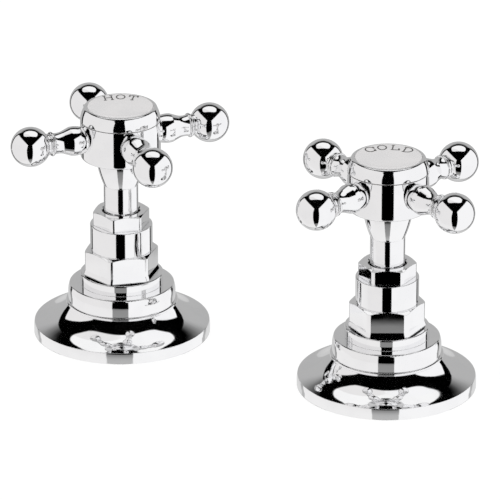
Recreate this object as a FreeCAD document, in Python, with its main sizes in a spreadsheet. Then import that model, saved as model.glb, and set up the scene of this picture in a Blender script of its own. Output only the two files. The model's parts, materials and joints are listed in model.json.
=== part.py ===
import FreeCAD, Part
import math
import os

import Sketcher
from FreeCAD import Placement, Rotation, Vector

# A matched pair of deck-mounted bath valves with cross handles, one marked hot and one cold.
# Millimetres. +Z is up, z = 0 is the top of the deck, the fronts face -Y, and the origin is on
# the axis of the cold valve at deck level. Parts under z = 0 hang below the deck.

DRIVING = {
    # where the two valves stand, and how their handles and nuts are turned, in degrees
    "pair_spacing": 95.35,
    "pair_stagger": 48.6,
    "hot_handle_angle": 20.8,
    "cold_handle_angle": 41.75,
    "hot_nut_angle": 13.0,
    "cold_nut_angle": 0.0,
    # fits: radial clearances, the gap kept between faces that slide on each other, and how far
    # a cut runs on past the face that it leaves
    "running_clearance": 0.05,
    "slip_clearance": 0.15,
    "film_gap": 0.05,
    "overcut": 1.0,
    # escutcheon: rim band, hollow flare and drum, the band and drum rounded in towards the top
    "flange_diameter": 64.0,
    "rim_height": 4.1,
    "rim_wall": 1.8,
    "flare_rise": 8.0,
    "flare_radius": 23.5,
    "shell_wall": 1.6,
    "drum_diameter": 39.0,
    "drum_height": 7.0,
    "drum_floor": 2.4,
    "barrel_radius": 9.0,
    "edge_rounding": 0.6,
    "gasket_thickness": 2.0,
    "gasket_width": 4.0,
    # locking ring above the escutcheon
    "lock_diameter": 30.2,
    "lock_height": 4.0,
    "lock_rounding": 0.5,
    # lower hexagon
    "bonnet_width": 24.0,
    "bonnet_height": 9.2,
    "bonnet_rounding": 2.4,
    "bonnet_roof": 1.9,
    "foot_flare": 0.5,
    "foot_height": 1.6,
    "bevel_angle": 26.0,
    # sleeve between the hexagons
    "sleeve_diameter": 22.6,
    "sleeve_height": 9.6,
    "sleeve_rounding": 0.35,
    # upper hexagon
    "gland_width": 18.4,
    "gland_height": 5.3,
    "gland_rounding": 1.8,
    "gland_thread": 3.1,
    "gland_mouth": 13.5,
    "gland_lip": 0.4,
    # shroud and handle neck
    "shroud_diameter": 12.5,
    "shroud_bore": 9.6,
    "shroud_reach": 10.0,
    "shroud_entry": 4.5,
    "spigot_diameter": 11.2,
    "spigot_length": 3.8,
    "neck_height": 10.8,
    "neck_diameter": 18.0,
    "neck_radius": 40.0,
    # handle hub
    "hub_diameter": 29.0,
    "hub_height": 14.1,
    "hub_rounding": 1.0,
    "arm_height": 8.2,
    "screw_seat_drop": 2.8,
    "screw_well": 10.4,
    # index bezel and porcelain disc
    "bezel_height": 5.1,
    "bezel_radius": 12.0,
    "bezel_lip": 0.3,
    "bezel_spigot": 23.0,
    "bezel_spigot_length": 2.2,
    "bezel_opening": 18.0,
    "seam_width": 0.25,
    "seam_depth": 0.4,
    "index_diameter": 24.5,
    "index_edge": 2.0,
    "index_crown": 1.2,
    "index_inset": 0.2,
    # arms of the cross
    "ball_diameter": 14.4,
    "ball_circle": 68.2,
    "ball_collar": 7.8,
    "bead_diameter": 8.9,
    "bead_width": 1.1,
    "bead_crown": 0.4,
    "bead_place": 26.2,
    "bead_groove": 0.7,
    "bead_neck": 7.2,
    "bead_shoulder": 0.15,
    "waist_diameter": 7.5,
    "waist_radius": 6.5,
    "waist_outer_rise": 0.16,
    "waist_inner_rise": 0.34,
    "cone_length": 2.8,
    "cone_end": 19.2,
    "cone_diameter": 10.4,
    "bulb_radius": 9.0,
    "bulb_start": 14.45,
    "root_diameter": 9.4,
    "root_start": 12.65,
    "tenon_diameter": 5.0,
    "tenon_length": 4.4,
    # spindle, its screw and its rings
    "spindle_diameter": 8.0,
    "spindle_core": 6.0,
    "spindle_relief": 0.2,
    "spindle_collar": 13.0,
    "collar_thickness": 1.2,
    "spline_length": 11.6,
    "spline_teeth": 20,
    "spline_depth": 0.45,
    "spline_width": 0.9,
    "screw_diameter": 4.0,
    "screw_length": 12.0,
    "screw_head_diameter": 7.0,
    "screw_head_height": 2.6,
    "screw_head_edge": 0.6,
    "screw_slot": 1.0,
    "washer_thickness": 0.8,
    "ring_thickness": 1.0,
    "ring_crown": 0.25,
    "ring_pitch": 6.0,
    "ring_depth": 5.0,
    "clip_thickness": 0.8,
    "clip_diameter": 10.4,
    "clip_groove": 0.6,
    "clip_opening": 2.4,
    "thrust_thickness": 0.75,
    # headwork
    "headwork_diameter": 16.8,
    "headwork_bore": 13.8,
    "headwork_flange": 2.0,
    "headwork_gasket": 0.8,
    "thread_diameter": 16.0,
    "counterbore_diameter": 13.2,
    "counterbore_depth": 3.8,
    "spindle_bore_length": 21.2,
    "window_width": 9.0,
    "window_height": 7.0,
    "window_lift": 7.5,
    # ceramic discs and seat seal
    "ceramic_thickness": 2.5,
    "port_outer": 10.8,
    "port_inner": 4.4,
    "port_angle": 70.0,
    "drive_width": 3.6,
    "drive_height": 1.85,
    "drive_lug": 1.1,
    "drive_lug_length": 1.6,
    "seal_thickness": 1.5,
    "seal_bore": 7.6,
    # valve body
    "shank_diameter": 24.0,
    "spigot_wall": 1.65,
    "thread_travel": 8.5,
    "chamber_diameter": 30.0,
    "chamber_height": 24.0,
    "chamber_bore": 23.6,
    "chamber_roof": 4.0,
    "chamber_floor": 7.0,
    "chamber_rounding": 2.0,
    "seat_height": 2.0,
    "outlet_drop": 11.0,
    "outlet_reach": 36.0,
    "outlet_collar": 25.0,
    "outlet_thread": 18.0,
    "pipe_thread": 20.96,
    "pipe_bore": 13.0,
    "inlet_length": 16.0,
    "inlet_bore": 11.0,
    # below the deck
    "deck_thickness": 20.0,
    "under_gasket_diameter": 40.0,
    "under_gasket_thickness": 2.0,
    "under_washer_diameter": 38.0,
    "under_washer_thickness": 1.5,
    "back_nut_width": 34.0,
    "back_nut_height": 8.0,
    "back_nut_rounding": 0.6,
}

doc = FreeCAD.newDocument("bath_valves")
sheet = doc.addObject("Spreadsheet::Sheet", "sizes")


class Size:
    """A size as a number, for the first drawing, and as the formula that drives it. Angles are
    in degrees."""

    def __init__(self, value, formula=None):
        self.value = float(value)
        self.formula = formula or repr(float(value))

    def joined(self, sign, other, value):
        return Size(value, "(%s %s %s)" % (self.formula, sign, other.formula))

    def __add__(self, other):
        other = as_size(other)
        return self.joined("+", other, self.value + other.value)

    def __sub__(self, other):
        other = as_size(other)
        return self.joined("-", other, self.value - other.value)

    def __mul__(self, other):
        other = as_size(other)
        return self.joined("*", other, self.value * other.value)

    def __truediv__(self, other):
        other = as_size(other)
        return self.joined("/", other, self.value / other.value)

    def __rsub__(self, other):
        return as_size(other) - self

    def __neg__(self):
        return as_size(0) - self

    def root(self):
        return Size(math.sqrt(self.value), "sqrt(%s)" % self.formula)

    def sine(self):
        return Size(math.sin(math.radians(self.value)), "sin(%s)" % self.formula)

    def cosine(self):
        return Size(math.cos(math.radians(self.value)), "cos(%s)" % self.formula)

    def tangent(self):
        return Size(math.tan(math.radians(self.value)), "tan(%s)" % self.formula)

    __radd__ = __add__
    __rmul__ = __mul__


def as_size(thing):
    return thing if isinstance(thing, Size) else Size(thing)


class Sizes:
    """The cells of the sheet, each one a Size under its own name."""

    def __init__(self, cells):
        for row, (name, value) in enumerate(cells.items(), start=1):
            sheet.set("A%d" % row, name)
            sheet.set("B%d" % row, str(value))
            sheet.setAlias("B%d" % row, name)
            setattr(self, name, Size(value, "sizes." + name))


size = Sizes(DRIVING)
doc.recompute()
SIDES = 6
ARMS = 4


# ---- heights above the deck, and a width that several pieces share ----
flare_top = size.rim_height + size.flare_rise
drum_top = flare_top + size.drum_height
lock_top = drum_top + size.lock_height
bonnet_top = lock_top + size.bonnet_height
sleeve_top = bonnet_top + size.sleeve_height
gland_top = sleeve_top + size.gland_height
shroud_top = gland_top + size.shroud_reach
shroud_end = gland_top - size.shroud_entry
hub_base = shroud_top + size.neck_height
hub_top = hub_base + size.hub_height
arm_axis = hub_base + size.arm_height
index_seat = hub_top + size.bezel_height - size.index_edge - size.index_inset
screw_seat = arm_axis - size.screw_seat_drop
spindle_top = screw_seat - size.spindle_relief

headwork_shoulder = bonnet_top - size.bonnet_roof
headwork_seat = headwork_shoulder - size.headwork_flange
spigot_top = headwork_seat - size.headwork_gasket
headwork_top = sleeve_top + size.gland_thread
counterbore_floor = headwork_top - size.counterbore_depth
thrust_face = counterbore_floor - size.spindle_bore_length

under_gasket_level = -(size.deck_thickness + size.under_gasket_thickness)
under_washer_level = under_gasket_level - size.under_washer_thickness
back_nut_level = under_washer_level - size.back_nut_height
chamber_top = back_nut_level - size.thread_travel
chamber_base = chamber_top - size.chamber_height
outlet_axis = chamber_top - size.outlet_drop
seat_level = chamber_base + size.seat_height
fixed_disc_level = seat_level + size.seal_thickness
moving_disc_level = fixed_disc_level + size.ceramic_thickness + size.film_gap
drive_level = moving_disc_level + size.ceramic_thickness + size.film_gap
headwork_end = seat_level + size.slip_clearance
window_level = seat_level + size.window_lift

top_spigot = size.headwork_diameter + 2 * (size.slip_clearance + size.spigot_wall)


# ---- drawing and feature helpers ----
def origin_feature(body, role):
    return next(f for f in body.Origin.OriginFeatures if f.Role == role)


def sketch_on(body, role, lift=None):
    sketch = body.newObject("Sketcher::SketchObject", body.Name + "_sketch")
    sketch.AttachmentSupport = [(origin_feature(body, role), "")]
    sketch.MapMode = "FlatFace"
    if lift is not None:
        sketch.setExpression("AttachmentOffset.Base.z", lift.formula)
    return sketch


def arc_between(first, last, radius):
    """The short arc between two points; it bulges to the right of the way for a radius above 0."""
    way = last - first
    half = way.Length / 2
    rise = abs(radius) - math.sqrt(radius ** 2 - half ** 2)
    right = Vector(way.y, -way.x, 0).normalize() * math.copysign(rise, radius)
    return Part.Arc(first, (first + last) / 2 + right, last)


def draw(sketch, corners):
    """Adds a closed outline, anticlockwise. A corner is (x, y), or (x, y, radius) where an arc
    leaves it for the next corner. Every place and radius is driven by its formula."""
    places = [Vector(as_size(c[0]).value, as_size(c[1]).value, 0) for c in corners]
    count = len(corners)
    edges, starts = [], []
    for i, corner in enumerate(corners):
        first, last = places[i], places[(i + 1) % count]
        if len(corner) == 3:
            curve = arc_between(first, last, corner[2].value)
        else:
            curve = Part.LineSegment(first, last)
        edges.append(sketch.addGeometry(curve))
        starts.append(1 if (sketch.getPoint(edges[-1], 1) - first).Length < 1e-6 else 2)
    for i, corner in enumerate(corners):
        before = (i - 1) % count
        sketch.addConstraint(Sketcher.Constraint(
            "Coincident", edges[before], 3 - starts[before], edges[i], starts[i]))
        for kind, axis, place in (("DistanceX", -2, corner[0]), ("DistanceY", -1, corner[1])):
            if as_size(place).value == 0:
                sketch.addConstraint(Sketcher.Constraint("PointOnObject", edges[i], starts[i], axis))
                continue
            index = sketch.addConstraint(
                Sketcher.Constraint(kind, -1, 1, edges[i], starts[i], as_size(place).value))
            sketch.setExpression("Constraints[%d]" % index, as_size(place).formula)
        if len(corner) == 3:
            index = sketch.addConstraint(
                Sketcher.Constraint("Radius", edges[i], abs(corner[2].value)))
            outward = corner[2] if corner[2].value > 0 else -corner[2]
            sketch.setExpression("Constraints[%d]" % index, outward.formula)


def circle(sketch, diameter):
    edge = sketch.addGeometry(Part.Circle(Vector(), Vector(0, 0, 1), diameter.value / 2))
    sketch.addConstraint(Sketcher.Constraint("Coincident", edge, 3, -1, 1))
    index = sketch.addConstraint(Sketcher.Constraint("Diameter", edge, diameter.value))
    sketch.setExpression("Constraints[%d]" % index, diameter.formula)


def arc_radius(half, rise):
    """The radius of an arc that rises so far above the middle of its chord."""
    return (half * half + rise * rise) / (2 * rise)


def hexagon(width, rounding):
    """Outline of a hexagon across its flats, with flats facing -Y and +Y and rounded corners."""
    apothem = width / 2
    half = (apothem - rounding) * math.tan(math.pi / SIDES)
    corners = []
    for side in range(SIDES):
        out = 2 * math.pi * side / SIDES - math.pi / 2
        nx, ny = math.cos(out), math.sin(out)
        corners.append((apothem * nx + half * ny, apothem * ny - half * nx))
        corners.append((apothem * nx - half * ny, apothem * ny + half * nx, rounding))
    return corners


def feature(body, kind, profile, **settings):
    """Adds a step of the given kind. A Size among the settings is bound to its formula."""
    piece = body.newObject("PartDesign::" + kind, body.Name + "_" + kind.lower())
    piece.Profile = profile
    for name, value in settings.items():
        if isinstance(value, Size):
            setattr(piece, name, value.value)
            piece.setExpression(name, value.formula)
        else:
            setattr(piece, name, value)
    body.Tip = piece
    return piece


def revolved(body, corners, axis="V_Axis", role="XZ_Plane", cut=False):
    sketch = sketch_on(body, role)
    outlines = corners if isinstance(corners[0], list) else [corners]
    for outline in outlines:
        draw(sketch, outline)
    kind = "Groove" if cut else "Revolution"
    return feature(body, kind, sketch, ReferenceAxis=(sketch, [axis]), Angle=360)


def around(body, original, count):
    """Repeats a feature evenly round the body's Z axis."""
    pattern = body.newObject("PartDesign::PolarPattern", body.Name + "_pattern")
    pattern.Originals = [original]
    pattern.Axis = (origin_feature(body, "Z_Axis"), [""])
    pattern.Angle = 360
    if isinstance(count, Size):
        pattern.Occurrences = int(count.value)
        pattern.setExpression("Occurrences", count.formula)
    else:
        pattern.Occurrences = count
    body.Tip = pattern
    return pattern


class Valve:
    """One of the two valves: its name, its place on the deck and the angles of its handle and nuts."""

    def __init__(self, name, x, y, handle_angle, nut_angle):
        self.name = name
        self.x = x
        self.y = y
        self.handle_angle = handle_angle
        self.nut_angle = nut_angle

    def body(self, node, height=0, turn=0):
        """An empty body for a sub-part, placed on this valve's axis at a height."""
        piece = doc.addObject("PartDesign::Body", "%s_%s" % (self.name, node))
        piece.Label = "%s_%s" % (self.name, node)
        piece.Placement = Placement(Vector(), Rotation(Vector(0, 0, 1), 1))
        for path, value in (("x", self.x), ("y", self.y), ("z", height)):
            piece.setExpression("Placement.Base." + path, as_size(value).formula)
        piece.setExpression("Placement.Rotation.Angle", as_size(turn).formula)
        return piece

    def turned(self, node, corners, height=0, turn=0):
        piece = self.body(node, height, turn)
        revolved(piece, corners)
        return piece

    def ring(self, node, inner, outer, thickness, height, turn=0):
        """A plain ring by its diameters, standing on a height."""
        corners = [(inner / 2, 0), (outer / 2, 0), (outer / 2, thickness), (inner / 2, thickness)]
        return self.turned(node, corners, height, turn)


# ---- fixed parts above the deck ----
def lean(radius, rise):
    """How far an arc that starts upright has come in after a rise."""
    return radius - (radius * radius - rise * rise).root()


def escutcheon(valve):
    rim = size.flange_diameter / 2
    rim_inside = rim - size.rim_wall
    drum = size.drum_diameter / 2
    inside = drum - size.shell_wall
    barrel = size.barrel_radius
    rounding = size.edge_rounding
    rim_edge = rim - lean(barrel, size.rim_height / 2)
    drum_edge = drum - lean(barrel, size.drum_height / 2 - rounding)
    bore = size.shank_diameter / 2 + size.slip_clearance
    flare = size.flare_radius
    corners = [
        (rim_inside, 0),
        (rim, 0),
        (rim, size.rim_height / 2, barrel),
        (rim_edge, size.rim_height, -flare),
        (drum, flare_top),
        (drum, flare_top + size.drum_height / 2, barrel),
        (drum_edge, drum_top - rounding, rounding),
        (drum_edge - rounding, drum_top),
        (bore, drum_top),
        (bore, drum_top - size.drum_floor),
        (inside, drum_top - size.drum_floor),
        (inside, flare_top - size.shell_wall, flare),
        (rim_inside - size.shell_wall, size.gasket_thickness),
        (rim_inside, size.gasket_thickness),
    ]
    valve.turned("escutcheon", corners)


def flange_gasket(valve):
    outer = size.flange_diameter - 2 * size.rim_wall - 2 * size.slip_clearance
    valve.ring("flange_gasket", outer - 2 * size.gasket_width, outer, size.gasket_thickness, 0)


def locking_ring(valve):
    outer = size.lock_diameter / 2
    bore = size.shank_diameter / 2 + size.running_clearance
    rounding = size.lock_rounding
    corners = [
        (bore, 0),
        (outer, 0),
        (outer, size.lock_height - rounding, rounding),
        (outer - rounding, size.lock_height),
        (bore, size.lock_height),
    ]
    valve.turned("locking_ring", corners, drum_top)


def bevel_outline(width, height):
    """The waste above a nut's corners, turned away so that each flat ends in an arc."""
    inner = width / 2
    outer = inner / math.cos(math.pi / SIDES) + size.overcut
    drop = (outer - inner) * size.bevel_angle.tangent()
    above = height + size.overcut
    return [(inner, height), (outer, height - drop), (outer, above), (inner, above)]


def bonnet_nut(valve):
    piece = valve.body("bonnet_nut", lock_top, valve.nut_angle)
    foot = sketch_on(piece, "XY_Plane")
    draw(foot, hexagon(size.bonnet_width + 2 * size.foot_flare, size.bonnet_rounding))
    waist = sketch_on(piece, "XY_Plane", size.foot_height)
    draw(waist, hexagon(size.bonnet_width, size.bonnet_rounding))
    feature(piece, "AdditiveLoft", foot, Sections=[waist], Ruled=True)
    feature(piece, "Pad", waist, Length=size.bonnet_height - size.foot_height)
    thread = top_spigot / 2 + size.running_clearance
    neck = size.headwork_diameter / 2 + size.slip_clearance
    roof = size.bonnet_height - size.bonnet_roof
    below, above = -size.overcut, size.bonnet_height + size.overcut
    bore = [(0, below), (thread, below), (thread, roof), (neck, roof), (neck, above), (0, above)]
    revolved(piece, [bore, bevel_outline(size.bonnet_width, size.bonnet_height)], cut=True)


def sleeve(valve):
    outer = size.sleeve_diameter / 2
    bore = size.headwork_diameter / 2 + size.slip_clearance
    rounding = size.sleeve_rounding
    corners = [
        (bore, 0),
        (outer, 0),
        (outer, size.sleeve_height - rounding, rounding),
        (outer - rounding, size.sleeve_height),
        (bore, size.sleeve_height),
    ]
    valve.turned("sleeve", corners, bonnet_top)


def gland_nut(valve):
    piece = valve.body("gland_nut", sleeve_top, valve.nut_angle)
    outline = sketch_on(piece, "XY_Plane")
    draw(outline, hexagon(size.gland_width, size.gland_rounding))
    feature(piece, "Pad", outline, Length=size.gland_height)
    thread = size.thread_diameter / 2 + size.running_clearance
    mouth = size.gland_mouth / 2
    floor = size.gland_thread + size.slip_clearance
    lip = size.gland_lip
    below, above = -size.overcut, size.gland_height + size.overcut
    bore = [
        (0, below),
        (thread, below),
        (thread, floor),
        (mouth, floor),
        (mouth, size.gland_height - lip),
        (mouth + lip, size.gland_height),
        (mouth + lip, above),
        (0, above),
    ]
    revolved(piece, [bore, bevel_outline(size.gland_width, size.gland_height)], cut=True)


# ---- headwork and ceramic discs ----
def headwork_body(valve):
    tube = size.headwork_diameter / 2
    flange = top_spigot / 2
    cavity = size.headwork_bore / 2
    spindle = size.spindle_diameter / 2 + size.running_clearance
    thread = size.thread_diameter / 2
    well = size.counterbore_diameter / 2
    corners = [
        (cavity, headwork_end),
        (tube, headwork_end),
        (tube, headwork_seat),
        (flange, headwork_seat),
        (flange, headwork_shoulder),
        (tube, headwork_shoulder),
        (tube, sleeve_top),
        (thread, sleeve_top),
        (thread, headwork_top),
        (well, headwork_top),
        (well, counterbore_floor),
        (spindle, counterbore_floor),
        (spindle, thrust_face),
        (cavity, thrust_face),
    ]
    piece = valve.turned("headwork_body", corners, 0, valve.nut_angle)
    side = sketch_on(piece, "XZ_Plane")
    half = size.window_width / 2
    top = window_level + size.window_height
    draw(side, [(-half, window_level), (half, window_level), (half, top), (-half, top)])
    feature(piece, "Pocket", side, Type="ThroughAll", Midplane=True)


def headwork_gasket(valve):
    inner = size.headwork_diameter + 2 * size.slip_clearance
    outer = top_spigot
    valve.ring("headwork_gasket", inner, outer, size.headwork_gasket, spigot_top)


def seat_seal(valve):
    outer = size.headwork_bore - 2 * size.slip_clearance
    valve.ring("seat_seal", size.seal_bore, outer, size.seal_thickness, seat_level)


def port_outline(middle):
    """A port of a ceramic disc, a sector about an angle in degrees."""
    outer, inner = size.port_outer / 2, size.port_inner / 2
    low = middle - size.port_angle / 2
    high = middle + size.port_angle / 2
    return [
        (outer * low.cosine(), outer * low.sine(), outer),
        (outer * high.cosine(), outer * high.sine()),
        (inner * high.cosine(), inner * high.sine(), -inner),
        (inner * low.cosine(), inner * low.sine()),
    ]


def ceramic_disc(valve, node, height, port_middle, turn):
    """A lapped disc with two ports on opposite sides of its centre."""
    piece = valve.body(node, height, turn)
    outline = sketch_on(piece, "XY_Plane")
    circle(outline, size.headwork_bore - 2 * size.running_clearance)
    feature(piece, "Pad", outline, Length=size.ceramic_thickness)
    port = sketch_on(piece, "XY_Plane", size.ceramic_thickness)
    draw(port, port_outline(port_middle))
    cut = feature(piece, "Pocket", port, Type="ThroughAll")
    around(piece, cut, 2)
    return piece


def moving_disc(valve):
    piece = ceramic_disc(valve, "moving_disc", moving_disc_level, 90, valve.handle_angle)
    slot = sketch_on(piece, "XY_Plane", size.ceramic_thickness)
    half = size.drive_width / 2 + size.slip_clearance
    rim = size.headwork_bore / 2 + size.overcut
    start = size.headwork_bore / 2 - size.drive_lug_length - 2 * size.slip_clearance
    draw(slot, [(start, -half), (rim, -half), (rim, half), (start, half)])
    cut = feature(piece, "Pocket", slot, Length=size.drive_lug + size.film_gap + size.slip_clearance)
    around(piece, cut, 2)


# ---- spindle and what is on it ----
def spindle(valve):
    """The spindle: a splined head with a tapped hole, ring and clip grooves, a thrust collar, a
    slim core and a bar whose two lugs drive the moving disc."""
    piece = valve.body("spindle", 0, valve.handle_angle)
    shaft = size.spindle_diameter / 2
    core = size.spindle_core / 2
    groove = shaft - size.ring_thickness
    clip = shaft - size.clip_groove
    collar = size.spindle_collar / 2
    hole = size.screw_diameter / 2 + size.running_clearance
    hole_end = spindle_top - size.screw_length
    collar_top = thrust_face - size.thrust_thickness - size.film_gap
    upper_ring = counterbore_floor - size.ring_depth
    lower_ring = upper_ring - size.ring_pitch
    clip_level = counterbore_floor + size.film_gap
    corners = [
        (0, drive_level),
        (core, drive_level),
        (core, collar_top - size.collar_thickness),
        (collar, collar_top - size.collar_thickness),
        (collar, collar_top),
        (shaft, collar_top),
        (shaft, lower_ring - size.ring_thickness),
        (groove, lower_ring - size.ring_thickness),
        (groove, lower_ring),
        (shaft, lower_ring),
        (shaft, upper_ring - size.ring_thickness),
        (groove, upper_ring - size.ring_thickness),
        (groove, upper_ring),
        (shaft, upper_ring),
        (shaft, clip_level),
        (clip, clip_level),
        (clip, clip_level + size.clip_thickness + size.film_gap),
        (shaft, clip_level + size.clip_thickness + size.film_gap),
        (shaft, spindle_top),
        (hole, spindle_top),
        (hole, hole_end),
        (0, hole_end),
    ]
    revolved(piece, corners)
    tooth = sketch_on(piece, "XY_Plane", spindle_top)
    half = size.spline_width / 2
    clear = shaft + size.overcut
    root = shaft - size.spline_depth
    draw(tooth, [(root, 0), (shaft, -half), (clear, -half), (clear, half), (shaft, half)])
    cut = feature(piece, "Pocket", tooth, Length=size.spline_length)
    around(piece, cut, size.spline_teeth)
    bar = sketch_on(piece, "XY_Plane", drive_level)
    end = size.headwork_bore / 2 - 2 * size.slip_clearance
    half = size.drive_width / 2
    draw(bar, [(-end, -half), (end, -half), (end, half), (-end, half)])
    feature(piece, "Pad", bar, Length=size.drive_height)
    lug = sketch_on(piece, "XY_Plane", drive_level - size.drive_lug)
    start = end - size.drive_lug_length
    draw(lug, [(start, -half), (end, -half), (end, half), (start, half)])
    tab = feature(piece, "Pad", lug, Length=size.drive_lug)
    around(piece, tab, 2)


def spindle_ring(valve, node, height):
    """A seal ring in a groove of the spindle, its section rounded on the outside."""
    inner = size.spindle_diameter / 2 - size.ring_thickness
    outer = size.spindle_diameter / 2
    edge = outer - size.ring_crown
    corners = [
        (inner, 0),
        (edge, 0, arc_radius(size.ring_thickness / 2, size.ring_crown)),
        (edge, size.ring_thickness),
        (inner, size.ring_thickness),
    ]
    valve.turned(node, corners, height - size.ring_thickness, valve.handle_angle)


def spindle_clip(valve):
    """A snap ring with a gap, in the groove above the spindle bore."""
    inner = size.spindle_diameter / 2 - size.clip_groove
    outer = size.clip_diameter / 2
    height = counterbore_floor + 1.5 * size.film_gap
    corners = [(inner, 0), (outer, 0), (outer, size.clip_thickness), (inner, size.clip_thickness)]
    piece = valve.turned("spindle_clip", corners, height, valve.handle_angle)
    gap = sketch_on(piece, "XY_Plane", size.clip_thickness)
    half = size.clip_opening / 2
    clear = outer + size.overcut
    draw(gap, [(0, -half), (clear, -half), (clear, half), (0, half)])
    feature(piece, "Pocket", gap, Type="ThroughAll")


def thrust_washer(valve):
    inner = size.spindle_diameter + 2 * size.slip_clearance
    outer = size.spindle_collar
    thickness = size.thrust_thickness
    level = thrust_face - thickness - size.film_gap
    valve.ring("thrust_washer", inner, outer, thickness, level, valve.handle_angle)


def spindle_shroud(valve):
    outer = size.shroud_diameter / 2
    bore = size.shroud_bore / 2
    spigot = size.spigot_diameter / 2
    corners = [
        (bore, shroud_end),
        (outer, shroud_end),
        (outer, shroud_top),
        (spigot, shroud_top),
        (spigot, shroud_top + size.spigot_length),
        (bore, shroud_top + size.spigot_length),
    ]
    valve.turned("spindle_shroud", corners, 0, valve.handle_angle)


# ---- handle ----
def handle_hub(valve):
    """The hub and its neck in one casting, drawn from the level of the arms, with four sockets."""
    piece = valve.body("handle_hub", arm_axis, valve.handle_angle)
    top = hub_top - arm_axis
    base = hub_base - arm_axis
    neck_end = shroud_top - arm_axis
    seat = screw_seat - arm_axis
    spigot_end = neck_end + size.spigot_length + size.slip_clearance
    outer = size.hub_diameter / 2
    rounding = size.hub_rounding
    recess = size.bezel_spigot / 2 + size.running_clearance
    recess_floor = top - size.bezel_spigot_length - size.slip_clearance
    spline = size.spindle_diameter / 2 + size.running_clearance
    spigot = size.spigot_diameter / 2 + size.running_clearance
    corners = [
        (spigot, neck_end),
        (size.shroud_diameter / 2, neck_end, size.neck_radius),
        (size.neck_diameter / 2, base),
        (outer - rounding, base, rounding),
        (outer, base + rounding),
        (outer, top),
        (recess, top),
        (recess, recess_floor),
        (size.screw_well / 2, recess_floor),
        (size.screw_well / 2, seat),
        (spline, seat),
        (spline, spigot_end),
        (spigot, spigot_end),
    ]
    revolved(piece, corners)
    shoulder = size.root_diameter / 2 + size.running_clearance
    tap = size.tenon_diameter / 2 + size.running_clearance
    clear = outer + size.overcut
    socket = [
        (0, 0),
        (clear, 0),
        (clear, shoulder),
        (size.root_start, shoulder),
        (size.root_start, tap),
        (0, tap),
    ]
    cut = revolved(piece, socket, axis="H_Axis", cut=True)
    around(piece, cut, ARMS)


def handle_arm(valve, number):
    """One spoke of the cross, turned from one bar: tenon, root, bulb, cone, waist, bead and ball."""
    ball = size.ball_diameter / 2
    centre = size.ball_circle / 2
    collar = size.ball_collar / 2
    ball_start = centre - (ball * ball - collar * collar).root()
    bead_half = size.bead_width / 2
    bead_out = size.bead_place + bead_half
    bead_in = size.bead_place - bead_half
    bead_edge = size.bead_diameter / 2 - size.bead_crown
    bead_radius = arc_radius(bead_half, size.bead_crown)
    groove = size.bead_neck / 2
    waist = size.waist_diameter / 2
    root = size.root_diameter / 2
    tenon = size.tenon_diameter / 2
    corners = [
        (size.root_start - size.tenon_length, 0),
        (centre + ball, 0, ball),
        (ball_start, collar),
        (bead_out + size.bead_groove, collar),
        (bead_out + size.bead_groove / 2, groove),
        (bead_out, groove),
        (bead_out, bead_edge, bead_radius),
        (bead_in, bead_edge),
        (bead_in - size.bead_shoulder, waist + size.waist_outer_rise, -size.waist_radius),
        (size.cone_end + size.cone_length, waist + size.waist_inner_rise),
        (size.cone_end, size.cone_diameter / 2, size.bulb_radius),
        (size.bulb_start, root),
        (size.root_start, root),
        (size.root_start, tenon),
        (size.root_start - size.tenon_length, tenon),
    ]
    turn = valve.handle_angle + (number - 1) * 360 / ARMS
    piece = valve.body("handle_arm_%d" % number, arm_axis, turn)
    revolved(piece, corners, axis="H_Axis")


def index_bezel(valve):
    """The screwed ring that holds the porcelain disc, with a fine seam where it meets the hub."""
    foot = size.hub_diameter / 2
    pocket = size.index_diameter / 2 + size.running_clearance
    floor = index_seat - hub_top
    spigot = size.bezel_spigot / 2
    opening = size.bezel_opening / 2
    corners = [
        (opening, -size.bezel_spigot_length),
        (spigot, -size.bezel_spigot_length),
        (spigot, 0),
        (foot - size.seam_depth, 0),
        (foot - size.seam_depth, size.seam_width),
        (foot, size.seam_width, size.bezel_radius),
        (pocket + size.bezel_lip, size.bezel_height),
        (pocket, size.bezel_height),
        (pocket, floor),
        (opening, floor),
    ]
    valve.turned("index_bezel", corners, hub_top, valve.handle_angle)


def index_disc(valve):
    """The porcelain disc, crowned on top."""
    edge = size.index_diameter / 2
    crown = size.index_crown
    corners = [
        (0, 0),
        (edge, 0),
        (edge, size.index_edge, arc_radius(edge, crown)),
        (0, size.index_edge + crown),
    ]
    valve.turned("index_disc", corners, index_seat, valve.handle_angle)


def handle_screw(valve):
    shank = size.screw_diameter / 2
    head = size.screw_head_diameter / 2
    top = size.screw_head_height
    edge = size.screw_head_edge
    corners = [
        (0, -size.screw_length),
        (shank, -size.screw_length),
        (shank, 0),
        (head, 0),
        (head, top - edge),
        (head - edge, top),
        (0, top),
    ]
    piece = valve.turned("handle_screw", corners, screw_seat + size.washer_thickness, valve.handle_angle)
    slot = sketch_on(piece, "XY_Plane", top)
    half = size.screw_slot / 2
    draw(slot, [(-head, -half), (head, -half), (head, half), (-head, half)])
    feature(piece, "Pocket", slot, Length=top / 2)


def screw_washer(valve):
    inner = size.screw_diameter + 2 * size.slip_clearance
    outer = size.screw_well - 2 * size.slip_clearance
    valve.ring("screw_washer", inner, outer, size.washer_thickness, screw_seat, valve.handle_angle)


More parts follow.
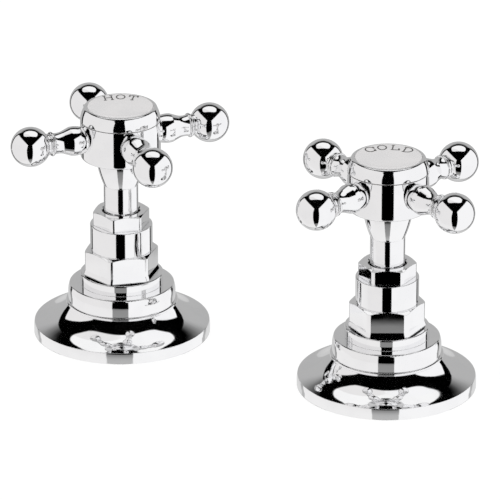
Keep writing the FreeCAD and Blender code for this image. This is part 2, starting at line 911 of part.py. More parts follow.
# ---- below the deck ----
def valve_body(valve):
    """The brass body, drawn from the level of its outlet: shank, chamber, inlet and side outlet."""
    piece = valve.body("valve_body", outlet_axis)
    level = outlet_axis
    bore = size.headwork_diameter / 2 + size.slip_clearance
    chamber = size.chamber_diameter / 2
    hollow = size.chamber_bore / 2
    shank = size.shank_diameter / 2
    spigot = top_spigot / 2
    pipe = size.pipe_thread / 2
    inlet = size.inlet_bore / 2
    rounding = size.chamber_rounding
    top, base = chamber_top - level, chamber_base - level
    corners = [
        (inlet, base - size.inlet_length),
        (pipe, base - size.inlet_length),
        (pipe, base),
        (chamber - rounding, base, rounding),
        (chamber, base + rounding),
        (chamber, top - rounding, rounding),
        (chamber - rounding, top),
        (shank, top),
        (shank, lock_top - level),
        (spigot, lock_top - level),
        (spigot, spigot_top - level),
        (bore, spigot_top - level),
        (bore, top - size.chamber_roof),
        (hollow, top - size.chamber_roof),
        (hollow, base + size.chamber_floor),
        (bore, base + size.chamber_floor),
        (bore, seat_level - level),
        (inlet, seat_level - level),
    ]
    revolved(piece, corners)
    wall = (chamber + hollow) / 2
    collar = size.outlet_collar / 2
    collar_end = size.outlet_reach - size.outlet_thread
    spout = [
        (wall, 0),
        (size.outlet_reach, 0),
        (size.outlet_reach, pipe),
        (collar_end, pipe),
        (collar_end, collar),
        (wall, collar),
    ]
    revolved(piece, spout, axis="H_Axis", role="YZ_Plane")
    way = size.pipe_bore / 2
    inside, outside = hollow - 2 * size.overcut, size.outlet_reach + size.overcut
    channel = [(inside, 0), (outside, 0), (outside, way), (inside, way)]
    revolved(piece, channel, axis="H_Axis", role="YZ_Plane", cut=True)


def under_gasket(valve):
    inner = size.shank_diameter + 2 * size.slip_clearance
    valve.ring("under_gasket", inner, size.under_gasket_diameter, size.under_gasket_thickness,
               under_gasket_level)


def under_washer(valve):
    inner = size.shank_diameter + 2 * size.slip_clearance
    valve.ring("under_washer", inner, size.under_washer_diameter, size.under_washer_thickness,
               under_washer_level)


def back_nut(valve):
    piece = valve.body("back_nut", back_nut_level, valve.nut_angle)
    outline = sketch_on(piece, "XY_Plane")
    draw(outline, hexagon(size.back_nut_width, size.back_nut_rounding))
    feature(piece, "Pad", outline, Length=size.back_nut_height)
    thread = size.shank_diameter / 2 + size.running_clearance
    below, above = -size.overcut, size.back_nut_height + size.overcut
    bore = [(0, below), (thread, below), (thread, above), (0, above)]
    revolved(piece, bore, cut=True)


def build(valve):
    """All the sub-parts of one valve, from the deck up and then below the deck."""
    escutcheon(valve)
    flange_gasket(valve)
    locking_ring(valve)
    bonnet_nut(valve)
    sleeve(valve)
    gland_nut(valve)
    headwork_body(valve)
    headwork_gasket(valve)
    seat_seal(valve)
    ceramic_disc(valve, "fixed_disc", fixed_disc_level, 0, valve.handle_angle)
    moving_disc(valve)
    spindle(valve)
    upper_ring = counterbore_floor - size.ring_depth
    spindle_ring(valve, "spindle_ring_upper", upper_ring)
    spindle_ring(valve, "spindle_ring_lower", upper_ring - size.ring_pitch)
    spindle_clip(valve)
    thrust_washer(valve)
    spindle_shroud(valve)
    handle_hub(valve)
    for number in range(1, ARMS + 1):
        handle_arm(valve, number)
    index_bezel(valve)
    index_disc(valve)
    handle_screw(valve)
    screw_washer(valve)
    valve_body(valve)
    under_gasket(valve)
    under_washer(valve)
    back_nut(valve)


build(Valve("hot", -size.pair_spacing, size.pair_stagger, size.hot_handle_angle, size.hot_nut_angle))
build(Valve("cold", as_size(0), as_size(0), size.cold_handle_angle, size.cold_nut_angle))
doc.recompute()

# ---- checks and files ----
parts = [o for o in doc.Objects if o.TypeId == "PartDesign::Body"]
faults = [o.Label for o in doc.Objects if "Invalid" in o.State or "Error" in o.State]
faults += [o.Label for o in parts if o.Shape.isNull() or not o.Shape.isValid()]
for piece in doc.Objects:
    if piece.TypeId in ("PartDesign::Groove", "PartDesign::Pocket"):
        if piece.Shape.Volume > piece.BaseFeature.Shape.Volume - 1e-3:
            faults.append(piece.Label + " cuts nothing")
if faults:
    raise RuntimeError("not built: " + ", ".join(faults))

os.makedirs("parts", exist_ok=True)
for piece in parts:
    piece.Shape.exportStep(os.path.join("parts", piece.Label + ".step"))
print("%d parts" % len(parts))
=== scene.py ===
import json
import math

import bmesh
import bpy
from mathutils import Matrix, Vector


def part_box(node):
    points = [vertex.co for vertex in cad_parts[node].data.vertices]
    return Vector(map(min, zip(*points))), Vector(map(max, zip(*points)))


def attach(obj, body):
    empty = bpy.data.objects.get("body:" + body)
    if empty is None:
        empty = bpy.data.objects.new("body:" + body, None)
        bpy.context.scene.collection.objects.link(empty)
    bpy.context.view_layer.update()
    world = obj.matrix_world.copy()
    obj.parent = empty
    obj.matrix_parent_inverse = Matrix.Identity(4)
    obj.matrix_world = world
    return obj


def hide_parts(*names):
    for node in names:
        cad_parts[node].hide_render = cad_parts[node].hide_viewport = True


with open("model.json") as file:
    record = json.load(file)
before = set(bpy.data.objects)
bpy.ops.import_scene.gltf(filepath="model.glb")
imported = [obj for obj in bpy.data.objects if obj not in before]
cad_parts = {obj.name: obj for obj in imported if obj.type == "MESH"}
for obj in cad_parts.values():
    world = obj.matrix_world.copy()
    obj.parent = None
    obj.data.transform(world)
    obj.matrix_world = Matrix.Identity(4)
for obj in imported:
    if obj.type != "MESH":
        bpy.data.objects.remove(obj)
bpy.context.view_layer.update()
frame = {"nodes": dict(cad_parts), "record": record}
mm = 0.001
print("frame loaded: %d nodes" % len(frame["nodes"]))


# shader building: a Graph adds nodes to one tree, and a Wire is a socket that can stand in a sum
class Wire:
    def __init__(self, graph, socket):
        self.graph = graph
        self.socket = socket

    def out(self, name):
        return Wire(self.graph, self.socket.node.outputs[name])

    def maths(self, operation, *others):
        return self.graph.node("ShaderNodeMath", {"operation": operation}, dict(enumerate((self,) + others)))

    def reversedMaths(self, operation, other):
        return self.graph.node("ShaderNodeMath", {"operation": operation}, {0: other, 1: self})

    def __add__(self, other):
        return self.maths("ADD", other)

    def __radd__(self, other):
        return self.maths("ADD", other)

    def __sub__(self, other):
        return self.maths("SUBTRACT", other)

    def __rsub__(self, other):
        return self.reversedMaths("SUBTRACT", other)

    def __mul__(self, other):
        return self.maths("MULTIPLY", other)

    def __rmul__(self, other):
        return self.maths("MULTIPLY", other)

    def __truediv__(self, other):
        return self.maths("DIVIDE", other)

    def __pow__(self, other):
        return self.maths("POWER", other)

    def __neg__(self):
        return self.maths("MULTIPLY", -1.0)

    def __abs__(self):
        return self.maths("ABSOLUTE")


class Graph:
    def __init__(self, tree):
        self.tree = tree
        tree.nodes.clear()

    def node(self, kind, settings=None, sockets=None, out=0):
        # settings come first, because some of them change which sockets there are
        made = self.tree.nodes.new(kind)
        for name, value in (settings or {}).items():
            if name == "stops":
                self.setStops(made.color_ramp, value)
            else:
                setattr(made, name, value)
        for name, value in (sockets or {}).items():
            socket = made.inputs[name]
            if isinstance(value, Wire):
                self.tree.links.new(value.socket, socket)
            else:
                socket.default_value = value
        return Wire(self, made.outputs[out]) if made.outputs else None

    def setStops(self, ramp, stops):
        while len(ramp.elements) < len(stops):
            ramp.elements.new(1.0)
        for element, (place, colour) in zip(ramp.elements, stops):
            element.position = place
            element.color = colour

    def rise(self, value, low, high):
        # 0 below low, 1 above high and a smooth step between
        sockets = {"Value": value, "From Min": low, "From Max": high}
        return self.node("ShaderNodeMapRange", {"interpolation_type": "SMOOTHSTEP"}, sockets)

    def blend(self, factor, first, second):
        settings = {"data_type": "RGBA"}
        return self.node("ShaderNodeMix", settings, {"Factor": factor, 6: first, 7: second}, out=2)

    def noise(self, scale, detail, stretch=None):
        place = self.node("ShaderNodeTexCoord", out="Object")
        if stretch:
            place = self.node("ShaderNodeMapping", None, {"Vector": place, "Scale": stretch})
        sockets = {"Vector": place, "Scale": scale, "Detail": detail}
        return self.node("ShaderNodeTexNoise", None, sockets)

    def bump(self, height, strength, distance, normal=None):
        sockets = {"Height": height, "Strength": strength, "Distance": distance}
        if normal:
            sockets["Normal"] = normal
        return self.node("ShaderNodeBump", None, sockets)

    def surface(self, shader):
        self.node("ShaderNodeOutputMaterial", None, {"Surface": shader})


def newGraph(name):
    material = bpy.data.materials.new(name)
    material.use_nodes = True
    return material, Graph(material.node_tree)


def grey(level):
    return (level, level, level, 1.0)


# finishes, one for each slot of the record
chromeLook = {
    "colour": (0.92, 0.92, 0.925, 1.0),
    "cloudColour": (0.90, 0.90, 0.907, 1.0),
    "roughness": 0.03,
    "cloudRoughness": 0.025,      # added where the plate is a little cloudy
    "cloudScale": 140.0,
    "waviness": 0.02,             # the soft unevenness that hand polishing leaves
    "waveScale": 260.0,
    "waveDepth": 0.2 * mm,
    "edgeRounding": 0.3 * mm,     # the plate softens every edge
    "edgeSamples": 6,
}


def chromeFinish():
    material, graph = newGraph("chrome")
    clouds = graph.rise(graph.noise(chromeLook["cloudScale"], 4.0), 0.42, 0.62)
    wave = graph.noise(chromeLook["waveScale"], 1.0)
    rounded = graph.node("ShaderNodeBevel", {"samples": chromeLook["edgeSamples"]}, {
        "Radius": chromeLook["edgeRounding"]})
    graph.surface(graph.node("ShaderNodeBsdfPrincipled", None, {
        "Base Color": graph.blend(clouds, chromeLook["colour"], chromeLook["cloudColour"]),
        "Metallic": 1.0,
        "Roughness": chromeLook["roughness"] + clouds * chromeLook["cloudRoughness"],
        "Normal": graph.bump(wave, chromeLook["waviness"], chromeLook["waveDepth"], rounded)}))
    return material


porcelainLook = {
    "colour": (0.835, 0.82, 0.82, 1.0),
    "tintColour": (0.80, 0.79, 0.793, 1.0),
    "roughness": 0.12,
    "tintRoughness": 0.04,        # added where the glaze is tinted
    "tintScale": 90.0,
    "waviness": 0.05,
    "waveScale": 220.0,
    "waveDepth": 0.2 * mm,
}


def porcelainFinish():
    material, graph = newGraph("porcelain")
    tint = graph.rise(graph.noise(porcelainLook["tintScale"], 3.0), 0.35, 0.65)
    ripple = graph.noise(porcelainLook["waveScale"], 2.0)
    graph.surface(graph.node("ShaderNodeBsdfPrincipled", None, {
        "Base Color": graph.blend(tint, porcelainLook["colour"], porcelainLook["tintColour"]),
        "Roughness": porcelainLook["roughness"] + tint * porcelainLook["tintRoughness"],
        "Normal": graph.bump(ripple, porcelainLook["waviness"], porcelainLook["waveDepth"])}))
    return material


inkLook = {
    "colour": (0.05, 0.046, 0.044, 1.0),
    "thinColour": (0.09, 0.085, 0.08, 1.0),       # where the fired ink is thin
    "thinScale": 2500.0,
    "roughness": 0.3,
}


def inkFinish():
    material, graph = newGraph("fired_lettering")
    thin = graph.rise(graph.noise(inkLook["thinScale"], 3.0), 0.4, 0.7)
    graph.surface(graph.node("ShaderNodeBsdfPrincipled", None, {
        "Base Color": graph.blend(thin, inkLook["colour"], inkLook["thinColour"]),
        "Roughness": inkLook["roughness"]}))
    return material


brassLook = {
    "colour": (0.72, 0.55, 0.27, 1.0),
    "dullColour": (0.56, 0.40, 0.18, 1.0),
    "roughness": 0.28,
    "dullRoughness": 0.15,        # added where the brass is dull
    "dullScale": 120.0,
    "marks": 0.35,                # turning marks, drawn out round the axis
    "markScale": 60.0,
    "markStretch": (1.0, 1.0, 60.0),
    "markDepth": 0.05 * mm,
}


def brassFinish():
    material, graph = newGraph("brass")
    marks = graph.noise(brassLook["markScale"], 6.0, brassLook["markStretch"])
    patches = graph.rise(graph.noise(brassLook["dullScale"], 5.0), 0.45, 0.75)
    graph.surface(graph.node("ShaderNodeBsdfPrincipled", None, {
        "Base Color": graph.blend(patches, brassLook["colour"], brassLook["dullColour"]),
        "Metallic": 1.0,
        "Roughness": brassLook["roughness"] + patches * brassLook["dullRoughness"],
        "Normal": graph.bump(marks, brassLook["marks"], brassLook["markDepth"])}))
    return material


steelLook = {
    "colour": (0.62, 0.62, 0.63, 1.0),
    "darkColour": (0.50, 0.50, 0.51, 1.0),
    "roughness": 0.3,
    "brushRoughness": 0.1,
    "brushing": 0.2,
    "brushScale": 90.0,
    "brushStretch": (1.0, 1.0, 30.0),
    "brushDepth": 0.03 * mm,
}


def steelFinish():
    material, graph = newGraph("steel")
    brushing = graph.noise(steelLook["brushScale"], 5.0, steelLook["brushStretch"])
    graph.surface(graph.node("ShaderNodeBsdfPrincipled", None, {
        "Base Color": graph.blend(brushing, steelLook["colour"], steelLook["darkColour"]),
        "Metallic": 1.0,
        "Roughness": steelLook["roughness"] + brushing * steelLook["brushRoughness"],
        "Normal": graph.bump(brushing, steelLook["brushing"], steelLook["brushDepth"])}))
    return material


plainLooks = {
    # finish: colour, second colour, roughness, size of the grain, depth of the grain
    "ceramic": ((0.90, 0.89, 0.86, 1.0), (0.86, 0.85, 0.82, 1.0), 0.25, 900.0, 0.02),
    "rubber": ((0.030, 0.030, 0.031, 1.0), (0.05, 0.05, 0.05, 1.0), 0.65, 1600.0, 0.15),
    "fibre": ((0.45, 0.16, 0.12, 1.0), (0.30, 0.09, 0.07, 1.0), 0.8, 1200.0, 0.4),
    "nylon": ((0.86, 0.85, 0.80, 1.0), (0.80, 0.79, 0.73, 1.0), 0.45, 700.0, 0.08),
}


def plainFinish(name):
    colour, second, roughness, grain, depth = plainLooks[name]
    material, graph = newGraph(name)
    speckle = graph.noise(grain, 5.0)
    graph.surface(graph.node("ShaderNodeBsdfPrincipled", None, {
        "Base Color": graph.blend(graph.rise(speckle, 0.35, 0.7), colour, second),
        "Roughness": roughness + speckle * 0.1,
        "Normal": graph.bump(speckle, depth, 0.05 * mm)}))
    return material


finishes = {"chrome": chromeFinish(), "porcelain": porcelainFinish(), "brass": brassFinish(),
            "steel": steelFinish(), "ink": inkFinish()}
finishes.update({name: plainFinish(name) for name in plainLooks})

for part in frame["record"]["subparts"]:
    node = frame["nodes"][part["node"]]
    for slot in node.material_slots:
        slot.material = finishes[part["material_slot"]]
print("finishes made: %d" % len(finishes))


# turned pieces
turnedSteps = 128
weldWithin = 0.0001 * mm
sharpFrom = math.radians(35)


def axisOf(tap):
    low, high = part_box(tap + "_escutcheon")
    return Vector(((low[0] + high[0]) / 2, (low[1] + high[1]) / 2, 0))


def latheMesh(profile):
    # corners are (radius, height) in millimetres; those on the axis are one point
    work = bmesh.new()
    rings = []
    for radius, level in profile:
        if radius == 0:
            rings.append([work.verts.new((0, 0, level * mm))] * turnedSteps)
            continue
        ring = []
        for i in range(turnedSteps):
            angle = math.tau * i / turnedSteps
            ring.append(work.verts.new((
                radius * mm * math.cos(angle), radius * mm * math.sin(angle), level * mm)))
        rings.append(ring)
    for upper, lower in zip(rings, rings[1:]):
        for i in range(turnedSteps):
            work.faces.new(list(dict.fromkeys([upper[i - 1], upper[i], lower[i], lower[i - 1]])))
    return work


def turnedPiece(name, profile, axis, level, finish, body):
    work = latheMesh(profile)
    bmesh.ops.remove_doubles(work, verts=work.verts, dist=weldWithin)
    bmesh.ops.recalc_face_normals(work, faces=work.faces)
    for face in work.faces:
        face.smooth = True
    bmesh.ops.translate(work, verts=work.verts, vec=axis + Vector((0, 0, level)))
    mesh = bpy.data.meshes.new(name)
    work.to_mesh(mesh)
    work.free()
    mesh.set_sharp_from_angle(angle=sharpFrom)
    piece = bpy.data.objects.new(name, mesh)
    bpy.context.collection.objects.link(piece)
    mesh.materials.append(finish)
    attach(piece, body)
    return piece


def arcBetween(start, end, radius, steps):
    # points after the start, on an arc that bulges to the right of the way
    start, end = Vector(start), Vector(end)
    half = (end - start) / 2
    aside = Vector((-half.y, half.x)).normalized() * math.sqrt(radius ** 2 - half.length_squared)
    centre = start + half + aside
    first = start - centre
    turn = 2 * math.asin(half.length / radius)
    points = []
    for i in range(1, steps + 1):
        angle = turn * i / steps
        points.append((centre.x + first.x * math.cos(angle) - first.y * math.sin(angle),
                       centre.y + first.x * math.sin(angle) + first.y * math.cos(angle)))
    return points


# the chrome ring round each disc: barrelled sides, a rounded shoulder and a thin lip
bezel = {
    "opening": 9.0,
    "spigot": 11.5,
    "spigotLength": 2.2,
    "seat": 2.9,
    "pocket": 11.95,
    "foot": 14.5,
    "groove": (14.1, 0.25),
    "side": (13.35, 4.2),
    "sideRadius": 12.0,
    "sideSteps": 10,
    "shoulder": (12.6, 5.07),
    "shoulderRadius": 1.05,
    "shoulderSteps": 8,
    "lip": 5.02,
}

for tap in ("hot", "cold"):
    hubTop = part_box(tap + "_handle_hub")[1][2]
    groove, rise = bezel["groove"]
    profile = [(bezel["opening"], -bezel["spigotLength"]), (bezel["spigot"], -bezel["spigotLength"]),
               (bezel["spigot"], 0), (groove, 0), (groove, rise), (bezel["foot"], rise)]
    profile += arcBetween(profile[-1], bezel["side"], bezel["sideRadius"], bezel["sideSteps"])
    profile += arcBetween(bezel["side"], bezel["shoulder"], bezel["shoulderRadius"],
                          bezel["shoulderSteps"])
    profile += [(bezel["pocket"], bezel["lip"]), (bezel["pocket"], bezel["seat"]),
                (bezel["opening"], bezel["seat"]), (bezel["opening"], -bezel["spigotLength"])]
    ring = turnedPiece(tap + "_disc_ring", profile, axisOf(tap), hubTop, finishes["chrome"],
                       tap + "_handle")
    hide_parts(tap + "_index_bezel")
print("disc rings turned")


# the porcelain discs: a rolled edge round a low crown
disc = {
    "edge": [(0, 0), (11.8, 0), (11.9, 0.1), (11.9, 1.9), (11.83, 2.2), (11.62, 2.42)],
    "crownRadius": 11.3,
    "crownRise": 0.65,
    "rings": 8,
}
disc["sphere"] = (disc["crownRadius"] ** 2 + disc["crownRise"] ** 2) / (2 * disc["crownRise"])


def crownDrop(reach):
    # how far the crown has fallen at a distance from its middle, both in millimetres
    return disc["sphere"] - math.sqrt(disc["sphere"] ** 2 - reach ** 2)


for tap in ("hot", "cold"):
    low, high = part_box(tap + "_index_disc")
    top = (high[2] - low[2]) / mm
    radii = [disc["crownRadius"] * (1 - i / disc["rings"]) for i in range(disc["rings"] + 1)]
    profile = disc["edge"] + [(radius, top - crownDrop(radius)) for radius in radii]
    face = turnedPiece(tap + "_disc_face", profile, axisOf(tap), low[2], finishes["porcelain"],
                       tap + "_handle")
    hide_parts(tap + "_index_disc")
print("porcelain discs turned")


# lettering on the discs: thin capitals with small feet, on an arc along the far edge
lettering = {
    "height": 5.6 * mm,
    "stem": 0.48 * mm,
    "hairline": 0.62 * mm,
    "foot": 0.36 * mm,            # how far a foot stands out beside its stem
    "arcRadius": 12.3 * mm,
    "arcCentre": -5.2 * mm,
    "spacing": {"hot": 0.372, "cold": 0.392},     # radians between letters
    "turn": {"hot": 0.0, "cold": 0.022},
    "lean": 0.4,                  # how much of its place's angle a letter is turned by
    "proud": 0.03 * mm,
    "thickness": 0.05 * mm,
    "weldWithin": 0.002 * mm,
    "curveSteps": 28,
    "openingC": math.radians(38),
    "reachC": 1.15,               # the C's curve, against half its width
}
letterWidths = {
    "H": 3.7 * mm, "O": 3.5 * mm, "T": 3.6 * mm, "C": 3.3 * mm, "L": 3.2 * mm, "D": 3.6 * mm}


class Glyph:
    # one capital as flat quads in its own plane, u across and v up from its middle
    def __init__(self, width):
        self.mesh = bmesh.new()
        self.half = width / 2
        self.top = lettering["height"] / 2
        self.stem = lettering["stem"]
        self.hair = lettering["hairline"]
        self.foot = lettering["foot"]

    def block(self, columns, rows, filled):
        # a grid of cells, of which only the filled ones are made
        for column, row in filled:
            corners = [(columns[column], rows[row]), (columns[column + 1], rows[row]),
                       (columns[column + 1], rows[row + 1]), (columns[column], rows[row + 1])]
            self.mesh.faces.new([self.mesh.verts.new((u, v, 0)) for u, v in corners])

    def band(self, centre, outer, inner, first, last):
        # a curved stroke between two ellipses, from one angle to another
        steps = lettering["curveSteps"]
        rim, core = [], []
        for i in range(steps + 1):
            angle = first + (last - first) * i / steps
            for line, reach in ((rim, outer), (core, inner)):
                place = (centre + reach[0] * math.cos(angle), reach[1] * math.sin(angle), 0)
                line.append(self.mesh.verts.new(place))
        for i in range(steps):
            self.mesh.faces.new((rim[i], rim[i + 1], core[i + 1], core[i]))

    def stemColumns(self, left):
        return [left, left + self.foot, left + self.foot + self.stem, left + 2 * self.foot + self.stem]

    def rows(self):
        return [-self.top, -self.top + self.hair, 0, self.top - self.hair, self.top]


def letterH(glyph):
    rows = [-glyph.top, -glyph.top + glyph.hair, -glyph.hair / 2, glyph.hair / 2,
            glyph.top - glyph.hair, glyph.top]
    left = glyph.stemColumns(-glyph.half)
    right = glyph.stemColumns(glyph.half - 2 * glyph.foot - glyph.stem)
    feet = [(0, 0), (1, 0), (2, 0), (1, 1), (1, 2), (1, 3), (0, 4), (1, 4), (2, 4)]
    glyph.block(left + right, rows, feet + [(column + 4, row) for column, row in feet] +
                [(2, 2), (3, 2), (4, 2)])


def letterL(glyph):
    columns = glyph.stemColumns(-glyph.half) + [glyph.half - glyph.hair, glyph.half]
    rows = [-glyph.top, -glyph.top + glyph.hair, -glyph.top + 3 * glyph.hair,
            glyph.top - glyph.hair, glyph.top]
    glyph.block(columns, rows, [(0, 0), (1, 0), (2, 0), (3, 0), (4, 0), (4, 1), (1, 1), (1, 2),
                                (0, 3), (1, 3), (2, 3)])


def letterT(glyph):
    columns = [-glyph.half, -glyph.half + glyph.hair, -glyph.stem / 2 - glyph.foot, -glyph.stem / 2,
               glyph.stem / 2, glyph.stem / 2 + glyph.foot, glyph.half - glyph.hair, glyph.half]
    rows = [-glyph.top, -glyph.top + glyph.hair, glyph.top - 3 * glyph.hair,
            glyph.top - glyph.hair, glyph.top]
    glyph.block(columns, rows, [(2, 0), (3, 0), (4, 0), (3, 1), (3, 2), (0, 2), (6, 2)] +
                [(column, 3) for column in range(7)])


def letterO(glyph):
    outer = (glyph.half, glyph.top)
    inner = (glyph.half - glyph.stem, glyph.top - glyph.hair)
    glyph.band(0, outer, inner, 0, math.tau)


def letterC(glyph):
    opening = lettering["openingC"]
    outer = (glyph.half * lettering["reachC"], glyph.top)
    inner = (outer[0] - glyph.stem, glyph.top - glyph.hair)
    centre = outer[0] - glyph.half
    glyph.band(centre, outer, inner, opening, math.tau - opening)
    for way in (1, -1):
        right = centre + outer[0] * math.cos(opening)
        end = outer[1] * math.sin(opening) * way
        rows = sorted([end - 2 * glyph.hair * way, end + glyph.hair * way])
        glyph.block([right - glyph.hair / 2, right + glyph.hair / 2], rows, [(0, 0)])


def letterD(glyph):
    columns = glyph.stemColumns(-glyph.half)
    bend = columns[3]
    glyph.block(columns, glyph.rows(), [(0, 0), (1, 0), (2, 0), (1, 1), (1, 2), (0, 3), (1, 3), (2, 3)])
    outer = (glyph.half - bend, glyph.top)
    inner = (glyph.half - bend - glyph.stem, glyph.top - glyph.hair)
    glyph.band(bend, outer, inner, -math.pi / 2, math.pi / 2)


drawLetter = {"H": letterH, "O": letterO, "T": letterT, "C": letterC, "L": letterL, "D": letterD}


def letterPiece(tap, index, letter, angle):
    # the flat capital is thickened, then laid on the crown of its disc
    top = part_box(tap + "_index_disc")[1][2]
    axis = axisOf(tap)
    glyph = Glyph(letterWidths[letter])
    drawLetter[letter](glyph)
    work = glyph.mesh
    bmesh.ops.remove_doubles(work, verts=work.verts, dist=lettering["weldWithin"])
    bmesh.ops.recalc_face_normals(work, faces=work.faces)
    thick = bmesh.ops.extrude_face_region(work, geom=work.faces[:])
    for thing in thick["geom"]:
        if isinstance(thing, bmesh.types.BMVert):
            thing.co.z = lettering["thickness"]
    bmesh.ops.recalc_face_normals(work, faces=work.faces)
    lean = angle * lettering["lean"]
    for vert in work.verts:
        across = lettering["arcRadius"] * math.sin(angle)
        across += vert.co.x * math.cos(lean) + vert.co.y * math.sin(lean)
        along = lettering["arcCentre"] + lettering["arcRadius"] * math.cos(angle)
        along += vert.co.y * math.cos(lean) - vert.co.x * math.sin(lean)
        crown = top - crownDrop(math.hypot(across, along) / mm) * mm
        lift = lettering["proud"] - lettering["thickness"] + vert.co.z
        vert.co = Vector((axis.x + across, axis.y + along, crown + lift))
    mesh = bpy.data.meshes.new("%s_letter_%d_%s" % (tap, index, letter))
    work.to_mesh(mesh)
    work.free()
    piece = bpy.data.objects.new(mesh.name, mesh)
    bpy.context.collection.objects.link(piece)
    mesh.materials.append(finishes["ink"])
    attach(piece, tap + "_handle")
    return piece


for tap, word in (("hot", "HOT"), ("cold", "COLD")):
    for index, letter in enumerate(word):
        place = (index - (len(word) - 1) / 2) * lettering["spacing"][tap]
        letterPiece(tap, index + 1, letter, place + lettering["turn"][tap])
print("lettering laid on the discs")


# thin trim: a dark band in the groove under the bezel, which is painted shade standing in for the groove's
# shadow line, and the small shoulder at the drum's foot
trim = {
    "seam": [(14.12, 0.02), (14.42, 0.02), (14.42, 0.23), (14.12, 0.23)],
    # the groove band's two colours are painted shade: near black, with a slightly lighter random mottle
    "paintedShadeColour": (0.05, 0.045, 0.04, 1.0),
    "paintedShadeLighterColour": (0.11, 0.10, 0.09, 1.0),
    "paintedShadeMottleScale": 1500.0,
    "shoulderWidth": 0.8,
    "shoulderRise": 0.6,
    "drumRadius": 19.5,
    "flareTop": 12.1,
    "tuck": 0.2,                  # how far the shoulder reaches into the escutcheon
    "roundingSteps": 6,
}


# painted shade: a dark matt finish whose colour stands in for the shadow in the groove under the bezel
def groovePaintedShadeFinish():
    material, graph = newGraph("painted_groove_shade")
    mottleOfPaintedShade = graph.rise(graph.noise(trim["paintedShadeMottleScale"], 3.0), 0.4, 0.7)
    graph.surface(graph.node("ShaderNodeBsdfPrincipled", None, {
        "Base Color": graph.blend(mottleOfPaintedShade, trim["paintedShadeColour"], trim["paintedShadeLighterColour"]),
        "Roughness": 0.7}))
    return material


paintedShadeMaterial = groovePaintedShadeFinish()
inner, foot = trim["drumRadius"] - trim["tuck"], trim["flareTop"] - trim["tuck"]
shoulder = [(inner, foot), (trim["drumRadius"] + trim["shoulderWidth"], foot)]
for i in range(trim["roundingSteps"] + 1):
    angle = math.pi / 2 * i / trim["roundingSteps"]
    shoulder.append((trim["drumRadius"] + trim["shoulderWidth"] * math.cos(angle),
                     trim["flareTop"] + trim["shoulderRise"] * math.sin(angle)))
shoulder += [(inner, trim["flareTop"] + trim["shoulderRise"]), (inner, foot)]
seam = trim["seam"] + trim["seam"][:1]
for tap in ("hot", "cold"):
    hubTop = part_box(tap + "_handle_hub")[1][2]
    # this dark band in the groove is painted shade, laid in as a thin ring
    turnedPiece(tap + "_groove_line", seam, axisOf(tap), hubTop, paintedShadeMaterial, tap + "_handle")
    turnedPiece(tap + "_drum_shoulder", shoulder, axisOf(tap), 0, finishes["chrome"], "root")
print("trim laid on")


# studio: white floor and background, soft light, and what the chrome mirrors
studio = {
    "fill": 0.92,                 # light on matt surfaces
    "leftCard": (0.86, 0.85, 0.85, 1.0),
    "rightCard": (0.99, 0.99, 1.0, 1.0),
    "backdrop": 0.47,
    "backdropFade": (25.0, 43.0),
    "gapLeft": -19.0,             # the dark gap between the cards, in degrees from straight ahead
    "gapRight": 15.0,
    "gapLean": (5.0, 1.0),        # how far its left and right edges move in, up to gapLeanTop
    "gapLeanTop": 40.0,
    "cardEnd": 131.5,
    "backdropStart": 141.0,
    "cardTop": 1.06,
    "cardMiddle": 72.0,
    "cardTopEdge": 0.02,
    "softboxHalfWidth": 0.606,    # as slopes from the vertical
    "softboxFront": -0.11,
    "softboxBack": 0.75,
    "softboxCorner": 3.0,
    "softboxEdge": (0.9, 1.1),
    "horizon": 0.004,             # how soft the horizon is, as a slope
    "tintEdge": 0.1,
    "edge": 1.2,                  # how soft the edges are, in degrees
}


def studioWorld():
    world = bpy.data.worlds.new("studio")
    bpy.context.scene.world = world
    world.use_nodes = True
    graph = Graph(world.node_tree)
    way = graph.node("ShaderNodeTexCoord", out="Generated")
    x = graph.node("ShaderNodeSeparateXYZ", None, {0: way})
    y, z = x.out("Y"), x.out("Z")
    degree = 180 / math.pi
    azimuth = x.maths("ARCTAN2", -y) * degree
    level = (x * x + y * y) ** 0.5
    elevation = z.maths("ARCTAN2", level) * degree
    soft = studio["edge"]

    def above(value, limit):
        return graph.rise(value - limit, -soft / 2, soft / 2)

    turn = abs(azimuth)
    raised = graph.rise(elevation, 0.0, studio["gapLeanTop"])
    leftLean, rightLean = studio["gapLean"]
    leftOf = above(azimuth, studio["gapLeft"] + raised * leftLean)
    gap = leftOf * (1 - above(azimuth, studio["gapRight"] - raised * rightLean))
    beside = (1 - gap) * (1 - above(turn, studio["cardEnd"]))
    behind = above(turn, studio["backdropStart"]) * studio["backdrop"]
    slope = z / level
    reach = ((turn - studio["cardMiddle"]) / degree).maths("COSINE") * studio["cardTop"]
    cards = beside * (1 - graph.rise(slope - reach, -studio["cardTopEdge"], studio["cardTopEdge"]))
    wall = behind * (1 - graph.rise(elevation, *studio["backdropFade"]))
    middle = (studio["softboxFront"] + studio["softboxBack"]) / 2
    half = (studio["softboxBack"] - studio["softboxFront"]) / 2
    across = abs(x / z / studio["softboxHalfWidth"]) ** studio["softboxCorner"]
    along = abs((y / z - middle) / half) ** studio["softboxCorner"]
    softbox = (1 - graph.rise(across + along, *studio["softboxEdge"])) * graph.rise(z, 0.0, 0.01)
    isUp = graph.rise(z, -studio["horizon"], studio["horizon"])
    mirrored = (cards + wall + softbox) * isUp + (beside + behind) * (1 - isUp)
    ray = graph.node("ShaderNodeLightPath")
    seen = ray.out("Is Glossy Ray")
    plain = studio["fill"] * (1 - seen) + mirrored * seen
    toTheRight = graph.rise(x, -studio["tintEdge"], studio["tintEdge"])
    side = graph.blend(toTheRight, studio["leftCard"], studio["rightCard"])
    # the tints are on the cards alone
    tinted = graph.blend(seen * beside, grey(1.0), side)
    background = graph.node("ShaderNodeBackground", None, {
        "Color": tinted, "Strength": plain * (1 - ray) + ray})
    graph.node("ShaderNodeOutputWorld", None, {"Surface": background})


studioWorld()

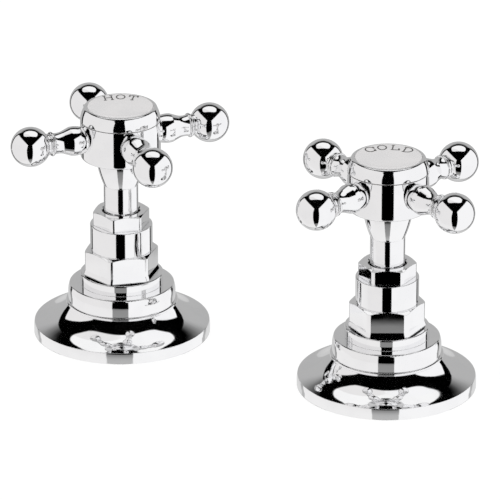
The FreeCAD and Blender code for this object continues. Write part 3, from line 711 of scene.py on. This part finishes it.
floorLook = {
    "reach": 6.0,
    "colour": (0.86, 0.86, 0.86, 1.0),
    "speckColour": (0.84, 0.84, 0.84, 1.0),
    "speckScale": 30.0,
    "glow": 0.85,                 # what the camera sees of the white floor before any light
    "shade": (0.22, 0.22, 0.22, 1.0),
}


def floorFinish():
    material, graph = newGraph("floor_white")
    speck = graph.rise(graph.noise(floorLook["speckScale"], 3.0), 0.3, 0.7)
    pale = graph.node("ShaderNodeBsdfDiffuse", None, {
        "Color": graph.blend(speck, floorLook["colour"], floorLook["speckColour"])})
    shaded = graph.node("ShaderNodeBsdfDiffuse", None, {"Color": floorLook["shade"]})
    glow = graph.node("ShaderNodeEmission", None, {"Color": grey(1.0), "Strength": floorLook["glow"]})
    shown = graph.node("ShaderNodeAddShader", None, {0: glow, 1: shaded})
    ray = graph.node("ShaderNodeLightPath")
    graph.surface(graph.node("ShaderNodeMixShader", None, {0: ray, 1: pale, 2: shown}))
    return material


def stagePiece(name, work, material):
    mesh = bpy.data.meshes.new(name)
    work.to_mesh(mesh)
    work.free()
    piece = bpy.data.objects.new(name, mesh)
    bpy.context.collection.objects.link(piece)
    mesh.materials.append(material)
    return piece


def floorPiece():
    work = bmesh.new()
    bmesh.ops.create_grid(work, x_segments=1, y_segments=1, size=floorLook["reach"])
    piece = stagePiece("floor", work, floorFinish())
    piece.visible_glossy = False


# the table: the floor as the chrome finds it, whiter near a valve's axis and clear further out
table = {
    "reach": 300 * mm,
    "lift": 0.1 * mm,
    "scale": 90 * mm,
    "levels": [(0, 0.5), (34, 0.5), (45, 0.32), (75, 0.22), (82, 0.0)],
    "steps": 96,
}


def tableFinish():
    material, graph = newGraph("table_white")
    place = graph.node("ShaderNodeTexCoord", out="Object")
    near = []
    for tap in ("hot", "cold"):
        ends = {0: place, 1: axisOf(tap)}
        near.append(graph.node("ShaderNodeVectorMath", {"operation": "DISTANCE"}, ends, out="Value"))
    radius = near[0].maths("MINIMUM", near[1])
    stops = [(distance * mm / table["scale"], grey(level)) for distance, level in table["levels"]]
    level = graph.node("ShaderNodeValToRGB", {"stops": stops}, {0: radius / table["scale"]})
    clear = graph.node("ShaderNodeBsdfTransparent", None, {"Color": grey(1.0)})
    white = graph.node("ShaderNodeEmission", None, {"Color": grey(1.0), "Strength": 1.0})
    graph.surface(graph.node("ShaderNodeMixShader", None, {0: level, 1: clear, 2: white}))
    return material


def tablePiece():
    work = bmesh.new()
    bmesh.ops.create_circle(work, cap_ends=True, segments=table["steps"], radius=table["reach"])
    bmesh.ops.translate(work, verts=work.verts, vec=(0, 0, table["lift"]))
    piece = stagePiece("table", work, tableFinish())
    piece.visible_camera = False
    piece.visible_diffuse = False
    piece.visible_shadow = False


floorPiece()
tablePiece()
# the deck and the shells hide these, also from the chrome above
hiddenNodes = ("valve_body", "back_nut", "under_washer", "under_gasket", "headwork_body", "headwork_gasket",
               "seat_seal", "fixed_disc", "moving_disc", "spindle", "spindle_ring_upper", "spindle_ring_lower",
               "spindle_clip", "thrust_washer", "flange_gasket")
for tap in ("hot", "cold"):
    for name in hiddenNodes:
        frame["nodes"][tap + "_" + name].visible_glossy = False
print("studio set")


# camera at the photograph's viewing angle
view = {
    "place": (-43.4 * mm, -2009.8 * mm, 893.7 * mm),
    "down": 22.734,               # degrees below level
    "aside": 0.150,               # degrees towards the left
    "lens": 443.5,
    "sensor": 36.0,
    "reach": 50.0,
}
camera = bpy.data.objects.new("camera", bpy.data.cameras.new("camera"))
bpy.context.collection.objects.link(camera)
camera.location = view["place"]
camera.rotation_euler = (math.radians(90 - view["down"]), 0, math.radians(view["aside"]))
camera.data.lens = view["lens"]
camera.data.sensor_width = view["sensor"]
camera.data.clip_end = view["reach"]
scene = bpy.context.scene
scene.camera = camera
scene.view_settings.view_transform = "Standard"
print("camera set")
